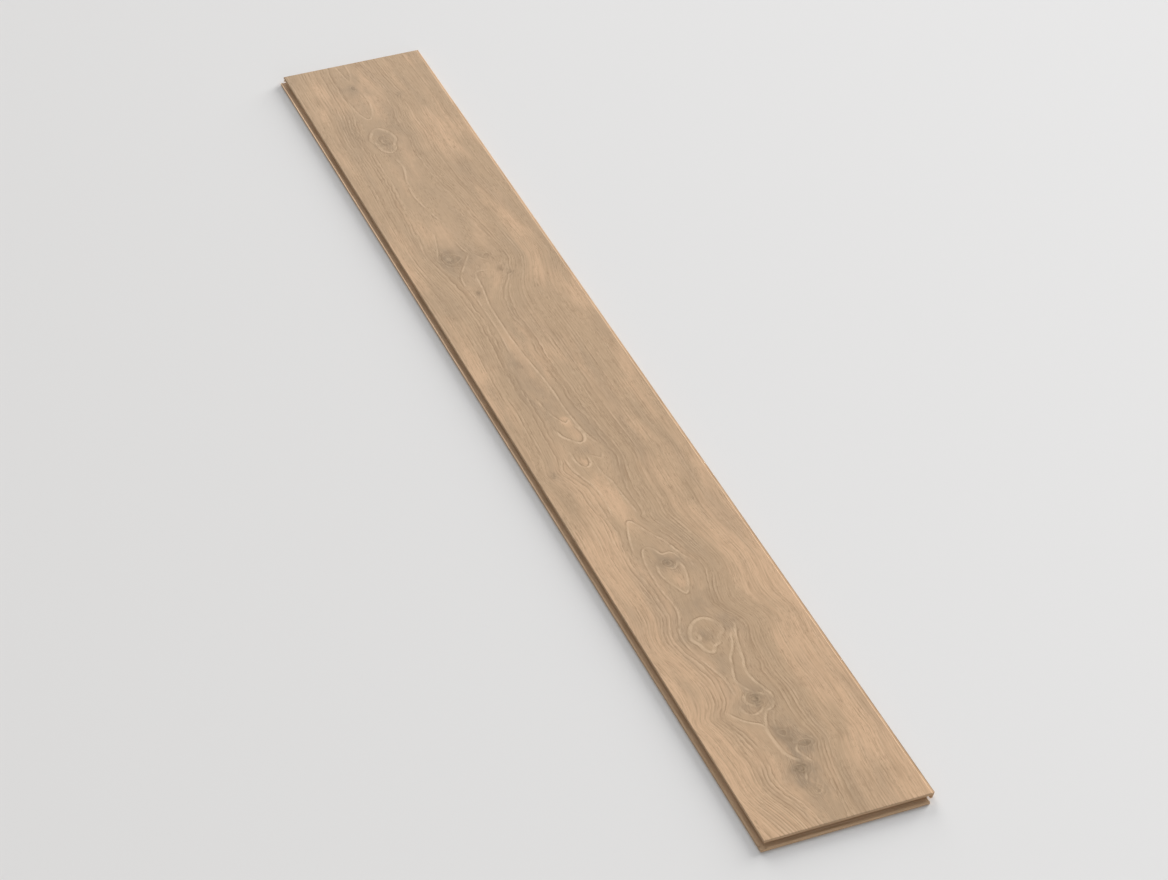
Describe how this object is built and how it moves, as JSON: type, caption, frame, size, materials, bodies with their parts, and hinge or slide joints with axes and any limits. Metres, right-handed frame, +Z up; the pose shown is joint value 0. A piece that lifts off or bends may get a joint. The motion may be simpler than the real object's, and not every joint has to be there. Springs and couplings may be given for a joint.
{
  "type": "rigid core vinyl plank",
  "caption": "Wood-look rigid core vinyl floor plank with micro-bevelled edges and click-lock tongue and groove on all sides.",
  "frame": {"origin": "middle of the underside, halfway between the joint planes of the long sides and of the ends", "axes": "+Y along the plank towards its tongue end, +X across it towards its tongue side, +Z up out of the printed face"},
  "size_m": [0.1895, 1.5095, 0.008],
  "materials": {
    "vinyl_plank": "wood print under a matt embossed wear layer, on a tan-brown mineral-filled core"
  },
  "bodies": {
    "root": {"plank": "vinyl_plank"}
  },
  "joints": []
}
